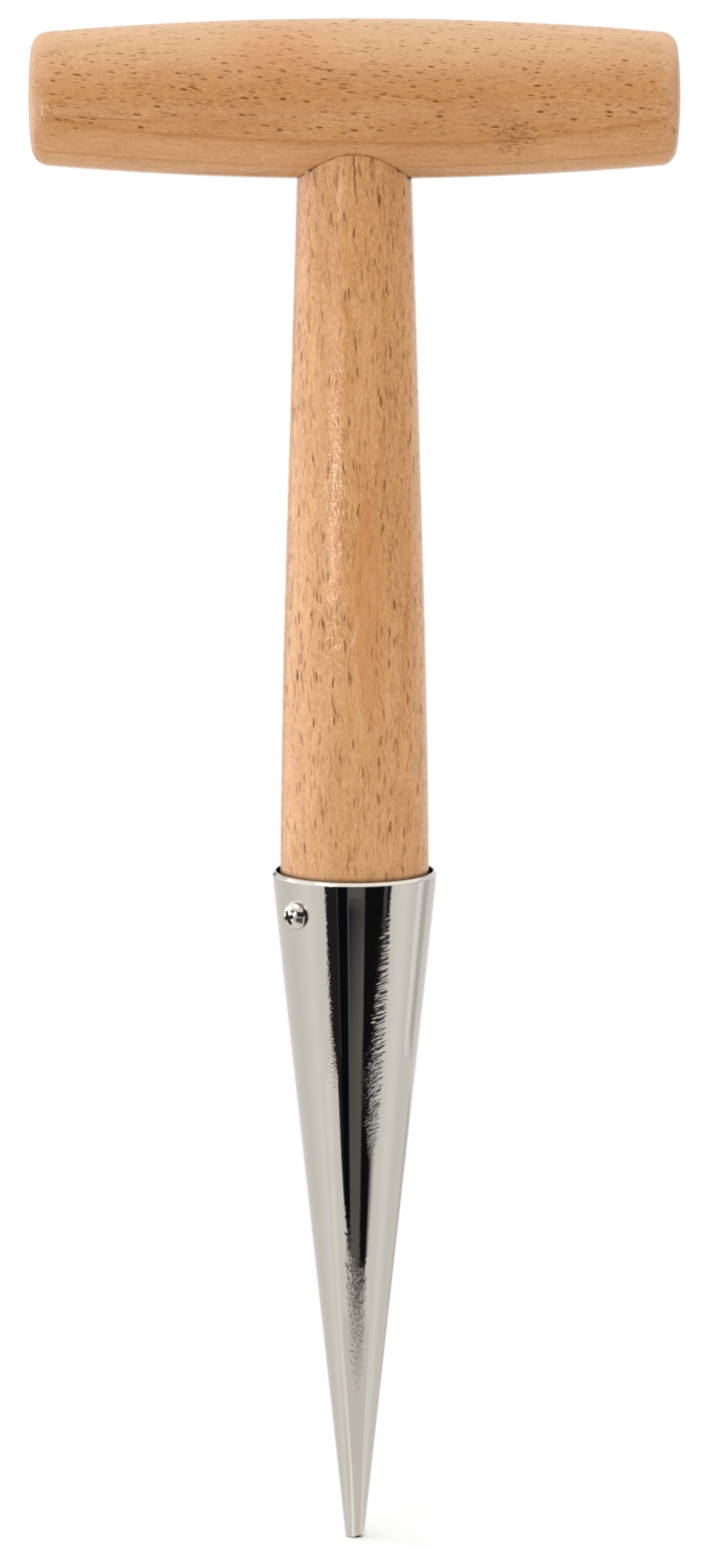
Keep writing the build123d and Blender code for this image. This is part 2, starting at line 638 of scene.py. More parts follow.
@dataclass(frozen=True)
class PlateFinish:
    """Bright plate on steel, with slight dents, and rubbed patches whose hairs fray what it mirrors."""

    name: str
    colour: Colour
    roughness: float
    dent_depth: float
    dent_size: float
    scuffs: tuple[Scuff, ...] = ()
    # The plate turns darker at the very foot of the tip: the height it spans, and the bearing and half turn
    # where it is darkest.
    dark_foot: float = 0.0
    # Colour of the darker foot, and of the painted shade in a recess.
    foot_and_recess_shade_colour: Colour = (0.03, 0.027, 0.024)
    dark_foot_bearing: float = 24.0
    dark_foot_turn: float = 22.0
    girth: float = 14.0
    cloud_size: Triple = (1 / 3, 1.0, 9.0)
    cloud_haze: float = 0.01

    def material(self, recess_shade: Callable[[Recipe], Signal] | None = None) -> bpy.types.Material:
        """Mix the plate, its dents, its scuffs, a darker foot and any painted shade in a recess.

        Args:
            recess_shade: Lays out where painted shade darkens the plate, if any does.

        Returns:
            The finished material.
        """
        recipe = Recipe(bpy.data.materials.new(self.name))
        x, y, z = recipe.split(recipe.place())
        bearing = recipe.math("ARCTAN2", x, y * -1.0)
        cloud = recipe.noise((bearing, 1.0, z), self.cloud_size)
        height = (recipe.noise((x, y, z), (self.dent_size,) * 3, 1.0) - 0.5) * self.dent_depth
        roughness = cloud.step(0.3, 0.8) * self.cloud_haze + self.roughness
        for scuff in self.scuffs:
            patch = scuff.patch(bearing, z, cloud)
            height = height + scuff.hairs(bearing * self.girth, z) * patch * scuff.depth
            roughness = roughness + patch * scuff.haze
        colour = self.colour
        # Darker at the very foot of the tip, most round one bearing.
        if self.dark_foot:
            beside = ((bearing - radians(self.dark_foot_bearing)) / radians(self.dark_foot_turn)).magnitude()
            foot_share = (z / self.dark_foot + cloud * 1.5 - beside.step(1.2, 0.6) * 1.2).step(1.6, 1.2)
            colour = recipe.mix(foot_share, colour, self.foot_and_recess_shade_colour)
        # Painted shade in a recess, where one is laid out.
        if recess_shade:
            colour = recipe.mix(recess_shade(recipe), colour, self.foot_and_recess_shade_colour)
        return recipe.dress(
            Base_Color=colour, Metallic=1.0, Roughness=roughness, Normal=recipe.bump(height, 1.0)
        )


def arc(centre: Point, radius: float, start: float, end: float, count: int) -> list[Point]:
    """Points of an arc, both ends included.

    Args:
        centre: The arc's centre, as across and along.
        radius: Its radius.
        start: Angle of its first point, from the across axis towards the along axis.
        end: Angle of its last point.
        count: How many steps it takes.

    Returns:
        The points in order.
    """
    turns = [start + (end - start) * step / count for step in range(count + 1)]
    return [(centre[0] + radius * cos(turn), centre[1] + radius * sin(turn)) for turn in turns]


def run(start: Point, end: Point, count: int) -> list[Point]:
    """Points of a straight run, both ends included."""
    shares = [step / count for step in range(count + 1)]
    return [(start[0] + (end[0] - start[0]) * s, start[1] + (end[1] - start[1]) * s) for s in shares]


def eased(before: Point, corner: Point, after: Point, radius: float, count: int = 4) -> list[Point]:
    """Points of an arc that rounds the corner between two straight runs.

    Args:
        before: A point on the first run.
        corner: The corner itself.
        after: A point on the second run.
        radius: The arc's radius.
        count: How many steps it takes.

    Returns:
        The arc's points, from the first run to the second.
    """
    here = Vector(corner)
    back = (Vector(before) - here).normalized()
    on = (Vector(after) - here).normalized()
    half = back.angle(on) / 2
    centre = here + (back + on).normalized() * (radius / sin(half))
    first = here + back * (radius / tan(half)) - centre
    sweep = (pi - 2 * half) * (1 if back.cross(on) < 0 else -1)
    start = atan2(first.y, first.x)
    return arc(tuple(centre), radius, start, start + sweep, count)


def ring_bearings(count: int) -> list[float]:
    """Even bearings round a full turn."""
    return [2 * pi * step / count for step in range(count)]


def turned(
    name: str,
    outline: Sequence[Point],
    bearings: Sequence[float],
    relief: Callable[[float, float], float] = lambda bearing, height: 0.0,
    sharp: float = radians(28),
) -> bpy.types.Object:
    """Turn an outline about Z into a closed mesh.

    Args:
        name: Name of the piece.
        outline: Points of radius and height. The first and last lie on the axis.
        bearings: Bearings of its ribs, from +X towards +Y.
        relief: What to add to the radius at a bearing and a height.
        sharp: Angle past which an edge stays crisp.

    Returns:
        The new object, in the scene.
    """
    rows = outline[1:-1]
    around = len(bearings)
    points = [(0.0, 0.0, outline[0][1]), (0.0, 0.0, outline[-1][1])]
    for radius, height in rows:
        for bearing in bearings:
            reach = radius + relief(bearing, height)
            points.append((reach * cos(bearing), reach * sin(bearing), height))
    faces = []
    for rib in range(around):
        beside = (rib + 1) % around
        faces.append((0, 2 + rib, 2 + beside))
        for row in range(len(rows) - 1):
            low = 2 + row * around
            faces.append((low + rib, low + around + rib, low + around + beside, low + beside))
        last = 2 + (len(rows) - 1) * around
        faces.append((1, last + beside, last + rib))
    mesh = bpy.data.meshes.new(name)
    mesh.from_pydata(points, [], faces)
    return smoothed(placed(name, mesh), sharp)


def placed(name: str, mesh: bpy.types.Mesh) -> bpy.types.Object:
    """Put a mesh into the scene.

    Args:
        name: Name of the new object.
        mesh: Its mesh.

    Returns:
        The object.
    """
    piece = bpy.data.objects.new(name, mesh)
    bpy.context.scene.collection.objects.link(piece)
    return piece


def smoothed(piece: bpy.types.Object, sharp: float) -> bpy.types.Object:
    """Face a mesh outwards and shade it smooth.

    Args:
        piece: The object.
        sharp: Angle past which an edge stays crisp.

    Returns:
        The same object.
    """
    shape = bmesh.new()
    shape.from_mesh(piece.data)
    bmesh.ops.recalc_face_normals(shape, faces=shape.faces)
    shape.to_mesh(piece.data)
    shape.free()
    piece.data.shade_smooth()
    piece.data.set_sharp_from_angle(angle=sharp)
    return piece


def cut(piece: bpy.types.Object, tool: bpy.types.Object, sharp: float = radians(28)) -> None:
    """Take a tool's shape out of a piece, and the tool out of the scene.

    Args:
        piece: The piece.
        tool: The closed shape that is taken out of it.
        sharp: Angle past which an edge stays crisp.
    """
    step = piece.modifiers.new("cut", "BOOLEAN")
    step.operation = "DIFFERENCE"
    step.solver = "EXACT"
    step.object = tool
    seen = piece.evaluated_get(bpy.context.evaluated_depsgraph_get())
    old, piece.data = piece.data, bpy.data.meshes.new_from_object(seen)
    piece.modifiers.remove(step)
    bpy.data.meshes.remove(old)
    bpy.data.objects.remove(tool)
    smoothed(piece, sharp)


def stand_in(piece: bpy.types.Object, node: str, material: bpy.types.Material) -> None:
    """Dress a piece and let it stand in for its CAD node.

    Args:
        piece: The finished piece.
        node: Name of the CAD node that it replaces.
        material: Its finish.
    """
    piece.data.materials.clear()
    piece.data.materials.append(material)
    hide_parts(node)
    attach(piece, BODY)
    log.info("%s: %d faces", piece.name, len(piece.data.polygons))


@dataclass(frozen=True)
class Chip:
    """A bit broken out of the mortise's edge, by its bearing from the front towards +X."""

    bearing: float
    width: float
    depth: float


@dataclass
class CrossbarHandle:
    """The T grip: a turned barrel with crowned ends, bored from below for the shaft."""

    finish: BeechFinish
    end_radius: float = 12.5 * MM
    end_crown: float = 0.95 * MM
    edge_radius: float = 3.2 * MM
    bore_radius: float = 11.03 * MM
    bore_roof: float = 10.5 * MM
    bore_ragged: float = 0.02 * MM
    chips: tuple[Chip, ...] = (
        Chip(radians(-50), 0.6 * MM, 0.55 * MM),
        Chip(radians(-44), 0.4 * MM, 0.3 * MM),
        Chip(radians(-12), 0.5 * MM, 0.1 * MM),
        Chip(radians(50), 0.7 * MM, 0.34 * MM),
        Chip(radians(84), 0.9 * MM, 0.6 * MM),
    )
    long_steps: int = 56
    edge_steps: int = 12
    crown_steps: int = 14
    ribs: int = 192
    bore_ribs: int = 360

    def __post_init__(self) -> None:
        """Take the barrel's reach and place from the CAD node."""
        low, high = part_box("crossbar_handle")
        self.half_length = (high.x - low.x) / 2
        self.radius = (high.y - low.y) / 2
        self.top = high.z

    def outline(self) -> list[Point]:
        """Half of the barrel's outline, mirrored: crown, rounded edge and the long arc.

        Returns:
            Points of radius and distance along the barrel.
        """
        chord = self.half_length - self.end_crown
        rise = self.radius - self.end_radius
        long_radius = (chord**2 + rise**2) / (2 * rise)
        long_centre = Vector((self.radius - long_radius, 0.0))
        crown_radius = (self.end_radius**2 + self.end_crown**2) / (2 * self.end_crown)
        crown_centre = Vector((0.0, self.half_length - crown_radius))
        from_long = long_radius - self.edge_radius
        from_crown = crown_radius - self.edge_radius
        apart = crown_centre - long_centre
        bend = acos((from_long**2 + apart.length**2 - from_crown**2) / (2 * from_long * apart.length))
        edge_turn = atan2(apart.y, apart.x) + bend
        edge = long_centre + Vector((cos(edge_turn), sin(edge_turn))) * from_long
        crown_turn = atan2(edge.y - crown_centre.y, edge.x - crown_centre.x)
        half = arc(tuple(long_centre), long_radius, 0.0, edge_turn, self.long_steps)
        half += arc(tuple(edge), self.edge_radius, edge_turn, crown_turn, self.edge_steps)[1:]
        half += arc(tuple(crown_centre), crown_radius, crown_turn, pi / 2, self.crown_steps)[1:]
        return [(radius, -along) for radius, along in reversed(half)] + half[1:]

    def broken(self, bearing: float, height: float) -> float:
        """How far the bore's edge is broken away.

        Args:
            bearing: Bearing round the bore, from +X towards +Y.
            height: Height in the bore, which makes no difference.

        Returns:
            What to add to the bore's radius.
        """
        front = atan2(cos(bearing), -sin(bearing))
        ragged = self.bore_ragged * (1 + sin(37 * bearing) * sin(11 * bearing + 1))
        gaps = [(front - chip.bearing) * self.bore_radius / chip.width for chip in self.chips]
        return ragged + sum(chip.depth * exp(-(gap**2)) for chip, gap in zip(self.chips, gaps))

    def bore(self) -> bpy.types.Object:
        """The mortise's cutter: a round bore whose edge has a few chips.

        Returns:
            The cutter, where the bore goes.
        """
        low, high = self.top - 3 * self.radius, self.top - self.bore_roof
        outline = [(0.0, low), (self.bore_radius, low), (self.bore_radius, high), (0.0, high)]
        return turned("bore", outline, ring_bearings(self.bore_ribs), self.broken)

    def build(self) -> None:
        """Turn the barrel, lay it along X, bore it and dress it."""
        piece = turned("crossbar", self.outline(), ring_bearings(self.ribs))
        lift = Matrix.Translation((0, 0, self.top - self.radius))
        piece.data.transform(lift @ Matrix.Rotation(radians(90), 4, "Y"))
        cut(piece, self.bore())
        stand_in(piece, "crossbar_handle", self.finish.material())


@dataclass
class SteelSpike:
    """The rolled cone: thin sheet with a bevelled mouth, a closed tip and a butt seam at the back.

    The roll marks are waves round it, each with its number, its phase and its share of the marks' height.
    """

    finish: PlateFinish
    mouth_radius: float = 16.25 * MM
    tip_radius: float = 1.8 * MM
    sheet: float = 0.8 * MM
    rim_bevel: float = 0.6 * MM
    rim_ease: float = 0.1 * MM
    lip_ease: float = 0.04 * MM
    tip_ease: float = 0.4 * MM
    tip_solid: float = 8.0 * MM
    seam_bearing: float = radians(43)
    seam_width: float = 0.6 * MM
    seam_depth: float = 0.12 * MM
    roll_mark: float = 0.012 * MM
    rolls: tuple[Triple, ...] = ((7, 0.6, 1.0), (12, 2.0, 0.6), (23, 0.0, 0.3))
    wall_steps: int = 60
    inside_steps: int = 30
    tip_steps: int = 6
    ribs: int = 288
    seam_ribs: int = 40

    def __post_init__(self) -> None:
        """Take the cone's length from the CAD node."""
        self.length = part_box("steel_spike")[1].z
        self.half_angle = atan2(self.mouth_radius - self.tip_radius, self.length)

    def radius_at(self, height: float, inset: float = 0.0) -> float:
        """Radius of the cone at a height, set in square to its surface."""
        return self.tip_radius + height * tan(self.half_angle) - inset / cos(self.half_angle)

    def from_seam(self, bearing: float) -> float:
        """Angle from the seam to a bearing, the short way round."""
        return (bearing - self.seam_bearing + pi) % (2 * pi) - pi

    def outline(self) -> list[Point]:
        """Outline of the sheet: tip, outside, bevelled lip, inside and the tip's plug.

        Returns:
            Points of radius and height.
        """
        foot = (self.tip_radius, 0.0)
        bevel_low = (self.radius_at(self.length - self.rim_bevel), self.length - self.rim_bevel)
        bevel_high = (self.mouth_radius - self.rim_bevel, self.length)
        lip = (self.radius_at(self.length, self.sheet), self.length)
        floor = (self.radius_at(self.tip_solid, self.sheet), self.tip_solid)
        tip_edge = eased((0.0, 0.0), foot, bevel_low, self.tip_ease, self.tip_steps)
        lower_edge = eased(foot, bevel_low, bevel_high, self.rim_ease)
        upper_edge = eased(bevel_low, bevel_high, lip, self.lip_ease)
        points = [(0.0, 0.0), *tip_edge]
        points += run(tip_edge[-1], lower_edge[0], self.wall_steps)[1:-1]
        points += lower_edge + upper_edge
        points += run(lip, floor, self.inside_steps)
        return points + [(0.0, self.tip_solid)]

    def relief(self, bearing: float, height: float) -> float:
        """Roll marks all round the sheet, and the seam's groove.

        Args:
            bearing: Bearing round the spike, from +X towards +Y.
            height: Height on it.

        Returns:
            What to add to the radius.
        """
        aside = self.from_seam(bearing) * self.radius_at(height)
        groove = self.seam_depth * exp(-((2.4 * aside / self.seam_width) ** 2))
        share = self.radius_at(height) / self.mouth_radius
        marks = sum(part * (sin(waves * bearing + phase) - 1) for waves, phase, part in self.rolls)
        return self.roll_mark * share * marks - groove

    def build(self) -> None:
        """Turn the sheet, with its ribs close together at the seam, and dress it."""
        spread = 9 * self.seam_width / self.mouth_radius
        half = self.seam_ribs // 2
        close = [self.seam_bearing + spread * step / self.seam_ribs for step in range(-half, half + 1)]
        far = [turn for turn in ring_bearings(self.ribs) if abs(self.from_seam(turn)) > spread * 0.52]
        bearings = sorted(bearing % (2 * pi) for bearing in close + far)
        piece = turned("spike", self.outline(), bearings, self.relief, radians(40))
        stand_in(piece, "steel_spike", self.finish.material())


@dataclass
class Shaft:
    """The turned stem: tenon, straight taper, swelling foot and tapered spigot."""

    finish: BeechFinish
    spike: SteelSpike
    neck_radius: float = 11.0 * MM
    swell_radius: float = 13.3 * MM
    swell_length: float = 69.0 * MM
    foot_radius: float = 14.6 * MM
    neck_top: float = 269.5 * MM
    fit: float = 0.05 * MM
    tenon_ease: float = 1.0 * MM
    spigot_ease: float = 1.5 * MM
    steps: int = 24
    spigot_steps: int = 12
    ribs: int = 160

    def __post_init__(self) -> None:
        """Take the stem's ends from the CAD node."""
        low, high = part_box("shaft")
        self.low, self.high = low.z, high.z

    def outline(self) -> list[Point]:
        """Outline from the spigot's end up to the tenon's top.

        Returns:
            Points of radius and height.
        """
        spigot = self.spike.radius_at(self.low, self.spike.sheet + self.fit)
        slope = tan(self.spike.half_angle)
        shoulder = self.low + (self.foot_radius - spigot) / slope
        swell_top = Vector((self.swell_radius, shoulder + self.swell_length))
        neck = Vector((self.neck_radius, self.neck_top))
        pull = swell_top + (swell_top - neck).normalized() * self.swell_length / 2
        foot = Vector((self.foot_radius, shoulder))
        shares = [step / self.steps for step in range(self.steps + 1)]
        swell = [foot * (1 - s) ** 2 + pull * 2 * s * (1 - s) + swell_top * s**2 for s in shares]
        ease = (spigot + self.spigot_ease * slope, self.low + self.spigot_ease)
        points = [(0.0, self.low), (spigot - self.spigot_ease, self.low)]
        points += run(ease, tuple(foot), self.spigot_steps)[:-1]
        points += [tuple(point) for point in swell]
        points += run(tuple(swell_top), tuple(neck), self.steps)[1:]
        points += [(self.neck_radius, self.high - self.tenon_ease)]
        return points + [(self.neck_radius - self.tenon_ease, self.high), (0.0, self.high)]

    def build(self) -> None:
        """Turn the stem and dress it."""
        piece = turned("stem", self.outline(), ring_bearings(self.ribs))
        stand_in(piece, "shaft", self.finish.material())


@dataclass
class FixingScrew:
    """A pan-head screw with a cross recess and a coarse thread, square to the spike's wall.

    The recess's mouth and floor are shares of its span and slot. The painted shade in its recess is part of
    the
    finish: it starts and is full at depths and heights in millimetres, and at shares of the head's radius.
    """

    finish: PlateFinish
    spike: SteelSpike
    bearing: float = radians(47)
    below_rim: float = 7.2 * MM
    seat_gap: float = 0.02 * MM
    head_radius: float = 2.75 * MM
    head_height: float = 2.2 * MM
    head_edge: float = 0.6 * MM
    head_ease: float = 0.15 * MM
    neck_gap: float = 0.05 * MM
    length: float = 13.0 * MM
    point: float = 2.6 * MM
    point_radius: float = 0.02 * MM
    core_radius: float = 1.1 * MM
    crest_radius: float = 1.42 * MM
    pitch: float = 1.1 * MM
    flank: float = 2.2
    bare_point: float = 0.4 * MM
    bare_neck: float = 0.9 * MM
    recess_span: float = 3.0 * MM
    recess_slot: float = 0.8 * MM
    recess_depth: float = 1.5 * MM
    recess_over: float = 0.3 * MM
    recess_mouth: Span = (1.12, 1.15)
    recess_floor: Span = (0.55, 0.6)
    recess_turn: float = radians(20)
    recess_shade_depth: Span = (0.08, 0.5)
    recess_shade_height: Span = (0.2, 0.5)
    recess_shade_reach: Span = (0.72, 0.62)
    recess_shade_share: float = 0.9
    sharp: float = radians(35)
    steps: int = 16
    shank_steps: int = 80
    ribs: int = 64

    @property
    def dome_radius(self) -> float:
        """Radius of the ball that the head's dome is cut from."""
        crown = self.head_height - self.head_edge
        return (self.head_radius**2 + crown**2) / (2 * crown)

    def seat(self) -> Matrix:
        """The screw's own frame: Z along the outward normal of the spike's wall.

        Returns:
            The frame, as a turn and a shift.
        """
        height = self.spike.length - self.below_rim
        out = Vector((-sin(self.bearing), -cos(self.bearing), 0.0))
        tilt = self.spike.half_angle
        axis = out * cos(tilt) - Vector((0.0, 0.0, sin(tilt)))
        side = Vector((cos(self.bearing), -sin(self.bearing), 0.0))
        origin = out * self.spike.radius_at(height) + Vector((0.0, 0.0, height)) + axis * self.seat_gap
        turn = Matrix((side, axis.cross(side), axis)).transposed().to_4x4()
        return Matrix.Translation(origin) @ turn

    def thread(self, bearing: float, height: float) -> float:
        """Height of the thread's ridge above the core, faded out at the point.

        Args:
            bearing: Bearing round the screw, from +X towards +Y.
            height: Height in the screw's own frame.

        Returns:
            What to add to the radius.
        """
        if not self.bare_point - self.length < height < -self.bare_neck:
            return 0.0
        phase = abs(((height / self.pitch - bearing / (2 * pi)) % 1.0) - 0.5) * 2
        tip = min(1.0, (height + self.length) / self.point)
        return (self.crest_radius - self.core_radius) * max(0.0, 1 - self.flank * phase) * tip

    def outline(self) -> list[Point]:
        """Outline from the point up to the crown of the head.

        Returns:
            Points of radius and height.
        """
        core = (self.core_radius, self.point - self.length)
        rim = (self.head_radius, 0.0)
        dome = self.dome_radius
        start = acos(self.head_radius / dome)
        points = [(0.0, -self.length)]
        points += run((self.point_radius, -self.length), core, self.steps)
        points += run(core, (self.core_radius, -self.neck_gap), self.shank_steps)[1:]
        points += eased((0.0, 0.0), rim, (self.head_radius, self.head_edge), self.head_ease)
        return points + arc((0.0, self.head_height - dome), dome, start, pi / 2, self.steps)

    def recess(self, turn: float) -> bpy.types.Object:
        """One wing of the cross recess, as a tapered cutter in the screw's own frame.

        Args:
            turn: Angle of the wing from the frame's X.

        Returns:
            The cutter.
        """
        shape = bmesh.new()
        bmesh.ops.create_cube(shape, size=1.0)
        for vertex in shape.verts:
            above = vertex.co.z > 0
            span, slot = self.recess_mouth if above else self.recess_floor
            vertex.co.x *= self.recess_span * span
            vertex.co.y *= self.recess_slot * slot
            vertex.co.z = self.head_height + (self.recess_over if above else -self.recess_depth)
        shape.transform(Matrix.Rotation(turn, 4, "Z"))
        mesh = bpy.data.meshes.new("recess")
        shape.to_mesh(mesh)
        shape.free()
        return placed("recess", mesh)

    def recess_shade(self, recipe: Recipe) -> Signal:
        """Painted shade in the cross recess, darker by its depth below the head's dome, where shade would
        fall.

        Args:
            recipe: The material that the dirt is for.

        Returns:
            How far the painted shade darkens the plate.
        """
        unseat = self.seat().inverted()
        x, y, z = recipe.split(recipe.place(unseat.to_euler(), unseat.translation / MM))
        dome, head = self.dome_radius / MM, self.head_radius / MM
        aside = x.hypot(y)
        below = aside.hypot(z + (dome - self.head_height / MM)) * -1.0 + dome
        inside = aside.step(*(share * head for share in self.recess_shade_reach))
        # Painted shade: the deeper in the recess, the darker the plate.
        return below.step(*self.recess_shade_depth) * inside * z.step(*self.recess_shade_height) * self.recess_shade_share

    def build(self) -> None:
        """Turn the screw, cut its recess, seat it and dress it."""
        piece = turned("screw", self.outline(), ring_bearings(self.ribs), self.thread, self.sharp)
        for turn in (self.recess_turn, self.recess_turn + pi / 2):
            cut(piece, self.recess(turn), self.sharp)
        piece.data.transform(self.seat())
        # The finish takes the recess's painted shade.
        stand_in(piece, "fixing_screw", self.finish.material(self.recess_shade))


def around(reach: float, bearing: float, height: float) -> Triple:
    """A point of the stage round the tip, by its bearing in degrees from the front towards +X."""
    turn = radians(bearing)
    return reach * sin(turn), -reach * cos(turn), height


def even(shade: Colour) -> tuple[Tint, ...]:
    """The tints of a floor card that has one shade all over."""
    return ((shade, shade),)


@dataclass(frozen=True)
class Card:
    """A studio card that only shows in mirrors and gloss, with the shade that each point gives off."""

    name: str

    def rows(self) -> list[list[Triple]]:
        """Rows of points, one for each rib of the card."""
        raise NotImplementedError

    def shades(self) -> list[list[Colour]]:
        """The shade of each point."""
        raise NotImplementedError

    def build(self) -> None:
        """Cut the card and put it up."""
        rows = self.rows()
        wide = len(rows[0])
        faces = []
        for row in range(len(rows) - 1):
            for step in range(wide - 1):
                low = row * wide + step
                faces.append((low, low + 1, low + wide + 1, low + wide))
        mesh = bpy.data.meshes.new(self.name)
        mesh.from_pydata([point for row in rows for point in row], [], faces)
        glow = mesh.color_attributes.new("glow", "FLOAT_COLOR", "POINT")
        for spot, shade in zip(glow.data, [shade for row in self.shades() for shade in row]):
            spot.color = (*shade, 1.0)
        card = placed(self.name, mesh)
        recipe = Recipe(bpy.data.materials.new(self.name))
        recipe.dress(
            Base_Color=BLACK,
            Specular_IOR_Level=0.0,
            Emission_Color=recipe.node("Attribute", {}, "Color", attribute_name="glow"),
            Emission_Strength=1.0,
        )
        mesh.materials.append(recipe.owner)
        for ray in Ray:
            setattr(card, ray.value, False)


@dataclass(frozen=True)
class FloorCard(Card):
    """A card on the floor, as rows of reach from the tip, left bearing and right bearing.

    Its tints, one pair for each row or one for them all, run from left to right, or on a soft card from
    both edges to the middle.
    """

    tints: tuple[Tint, ...]
    sides: tuple[Triple, ...]
    lift: float = 0.08 * MM
    soft: bool = False
    steps: int = 24

    def rows(self) -> list[list[Triple]]:
        """Fan of points round the spike."""
        spans = [(reach, run((left, 0), (right, 0), self.steps)) for reach, left, right in self.sides]
        return [[around(reach, bearing, self.lift) for bearing, _ in span] for reach, span in spans]

    def shades(self) -> list[list[Colour]]:
        """The tints of each row, blended from step to step.

        Returns:
            The shade of each point.
        """
        shares = [step / self.steps for step in range(self.steps + 1)]
        if self.soft:
            shares = [sin(pi * share) for share in shares]
        pairs = self.tints * (len(self.sides) // len(self.tints))
        return [[tuple(Vector(first).lerp(Vector(second), s)) for s in shares] for first, second in pairs]


@dataclass(frozen=True)
class RingCard(Card):
    """A card right round the spike, whose level changes softly from bearing to bearing."""

    shade: Colour
    reaches: Span
    stops: tuple[Point, ...]
    lift: float = 0.04 * MM
    steps: int = 6

    def levels(self) -> list[Point]:
        """Bearings a few degrees apart, with the level that the stops give there."""
        legs = [run(*stops, self.steps)[:-1] for stops in zip(self.stops, self.stops[1:])]
        return [step for leg in legs for step in leg] + [self.stops[-1]]

    def rows(self) -> list[list[Triple]]:
        """The ring's inner and outer edge."""
        return [[around(reach, turn, self.lift) for turn, _ in self.levels()] for reach in self.reaches]

    def shades(self) -> list[list[Colour]]:
        """The shade at each bearing's level, alike on both edges."""
        row = [tuple(part * level for part in self.shade) for _, level in self.levels()]
        return [row, row]


@dataclass(frozen=True)
class WallCard(Card):
    """A curved card that stands round the object, between two bearings and two heights."""

    shade: Colour
    reach: float
    bearings: Span
    heights: Span
    soft: bool = False
    steps: int = 48

    def rows(self) -> list[list[Triple]]:
        """Two rows of points, foot and top."""
        turns = run((self.bearings[0], 0), (self.bearings[1], 0), self.steps)
        return [[around(self.reach, turn, height) for turn, _ in turns] for height in self.heights]

    def shades(self) -> list[list[Colour]]:
        """The card's own shade, faded out to both sides on a soft card."""
        levels = [sin(pi * step / self.steps) if self.soft else 1.0 for step in range(self.steps + 1)]
        return [[tuple(part * level for part in self.shade) for level in levels] for _ in self.heights]


@dataclass(frozen=True)
class CeilingCard(Card):
    """A flat card overhead, by its sides from left to right and from front to back, and its height."""

    shade: Colour
    across: Span
    deep: Span
    height: float

    def rows(self) -> list[list[Triple]]:
        """Two rows of points, front and back."""
        return [[(x, y, self.height) for x in self.across] for y in self.deep]

    def shades(self) -> list[list[Colour]]:
        """The card's own shade at its four corners."""
        return [[self.shade] * 2] * 2


@dataclass(frozen=True)
class Lamp:
    """A soft box, by its middle, what it faces, its sides and its power in watts."""

    name: str
    place: Triple
    target: Triple
    sides: Span
    power: float

    def build(self) -> None:
        """Hang the soft box."""
        light = bpy.data.lights.new(self.name, "AREA")
        light.shape = "RECTANGLE"
        light.size, light.size_y = self.sides
        light.energy = self.power
        lamp = bpy.data.objects.new(self.name, light)
        lamp.location = self.place
        facing = Vector(self.target) - Vector(self.place)
        lamp.rotation_euler = facing.to_track_quat("-Z", "Y").to_euler()
        bpy.context.scene.collection.objects.link(lamp)


@dataclass
class Studio:
    """Pale floor, soft light, cards and the camera at the photograph's place."""

    lamps: tuple[Lamp, ...]
    cards: tuple[Card, ...]
    camera_place: Triple = (1.06 * MM, -957.0 * MM, 296.46 * MM)
    camera_pitch: float = radians(8.582)
    camera_lens: float = 113.65
    floor_radius: float = 3.0
    floor_white: float = 0.88
    floor_lift: float = 0.12
    floor_far_lift: float = 0.32
    floor_far: Span = (300.0, 2000.0)
    sky: float = 0.92

    def shown(self, recipe: Recipe) -> Signal:
        """1 for rays that show the stage: from the camera, in a mirror or through glass."""
        kinds = ("Is Camera Ray", "Is Glossy Ray", "Is Transmission Ray")
        camera, glossy, through = (recipe.node("LightPath", {}, kind) for kind in kinds)
        return camera.largest(glossy).largest(through)

    def floor(self) -> None:
        """A round pale floor that reads white and keeps the shadow."""
        mesh = bpy.data.meshes.new("floor")
        turns = ring_bearings(96)
        rim = [(self.floor_radius * cos(turn), self.floor_radius * sin(turn), 0.0) for turn in turns]
        mesh.from_pydata(rim, [], [tuple(range(len(rim)))])
        piece = placed("floor", mesh)
        recipe = Recipe(bpy.data.materials.new("floor_paper"))
        x, y, _ = recipe.split(recipe.place())
        away = x.hypot(y).step(*self.floor_far)
        lift = away * (self.floor_far_lift - self.floor_lift) + self.floor_lift
        recipe.dress(
            Base_Color=(self.floor_white,) * 3,
            Roughness=1.0,
            Specular_IOR_Level=0.0,
            Emission_Color=WHITE,
            Emission_Strength=lift * self.shown(recipe),
        )
        mesh.materials.append(recipe.owner)

    def surround(self) -> None:
        """White surroundings: full white where they show, and softer where they light the object."""
        recipe = Recipe(bpy.data.worlds.new("surround"), "Background")
        level = {"Value": self.shown(recipe), "To Min": self.sky, "To Max": 1.0}
        bpy.context.scene.world = recipe.dress(Color=WHITE, Strength=recipe.node("MapRange", level))

    def camera(self) -> None:
        """The camera at the photograph's viewing angle, set as the scene's own."""
        lens = bpy.data.cameras.new("viewer")
        lens.lens = self.camera_lens
        viewer = bpy.data.objects.new("viewer", lens)
        viewer.location = self.camera_place
        viewer.rotation_euler = (pi / 2 - self.camera_pitch, 0.0, 0.0)
        bpy.context.scene.collection.objects.link(viewer)
        bpy.context.scene.camera = viewer

    def build(self) -> None:
        """Set the whole stage up."""
        bpy.context.scene.view_settings.view_transform = "Standard"
        self.camera()
        self.surround()
        self.floor()
        for item in self.lamps + self.cards:
            item.build()
        log.info("studio: %d lamps, %d cards", len(self.lamps), len(self.cards))
